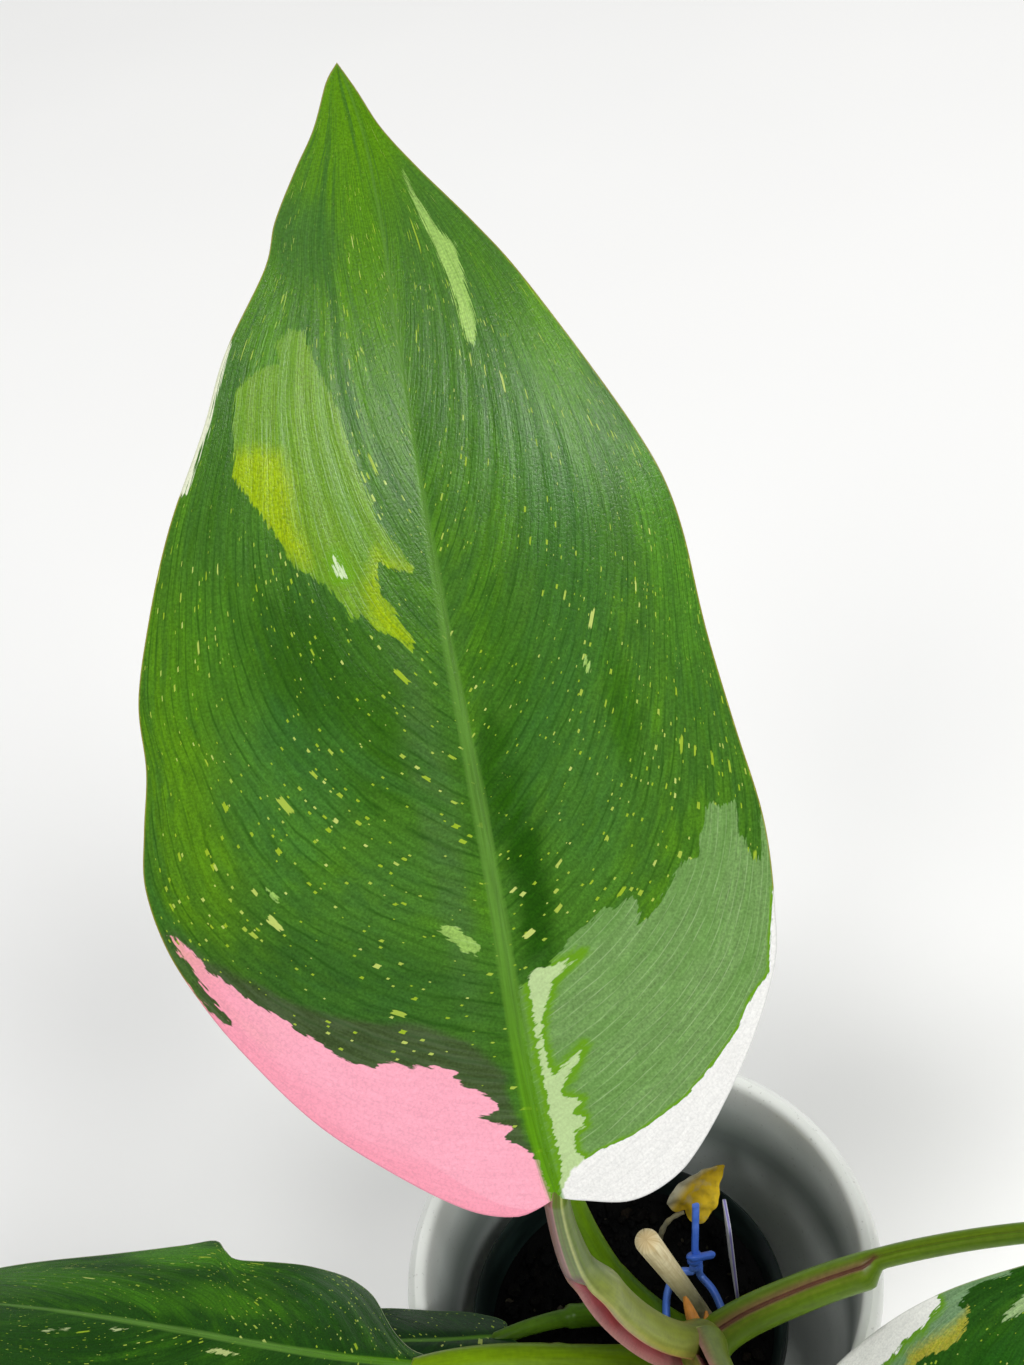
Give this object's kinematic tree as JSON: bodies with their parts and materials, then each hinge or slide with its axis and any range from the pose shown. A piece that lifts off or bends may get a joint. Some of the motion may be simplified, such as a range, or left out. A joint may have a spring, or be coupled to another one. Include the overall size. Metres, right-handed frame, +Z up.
{
  "type": "potted tricolor white princess philodendron",
  "caption": "Potted aroid with pink, white and green variegated leaves on winged petioles, staked and tied in a nursery pot inside a pale glazed cachepot.",
  "frame": {"origin": "centre of the cachepot's flat base", "axes": "+Z up; -Y is the front, from which the main leaf shows its upper side; +X is to the right seen from the front"},
  "size_m": [0.454, 0.2477, 0.4142],
  "materials": {
    "glaze": "gloss glaze, pale celadon white",
    "nursery_plastic": "satin dark plastic",
    "mix": "loose dark potting mix with bark and grit",
    "stem_skin": "smooth olive green plant skin",
    "leaf_main": "waxy leaf, green with pink, white and pale green sectors",
    "leaf_green": "waxy green leaf with pale specks and sectors",
    "stake_wood": "bare weathered wood",
    "tie_plastic": "blue plastic over wire",
    "label_plastic": "white plastic, bare",
    "withered": "dry yellow leaf"
  },
  "bodies": {
    "root": {"cachepot": "glaze", "nursery_pot": "nursery_plastic", "potting_mix": "mix", "stem": "stem_skin", "leaf_main": "leaf_main", "leaf_right": "leaf_green", "leaf_left": "leaf_green", "leaf_small": "leaf_green", "leaf_front": "leaf_green", "leaf_behind": "leaf_green", "stake": "stake_wood", "twist_tie": "tie_plastic", "plant_label": "label_plastic", "withered_leaf": "withered"}
  },
  "joints": []
}
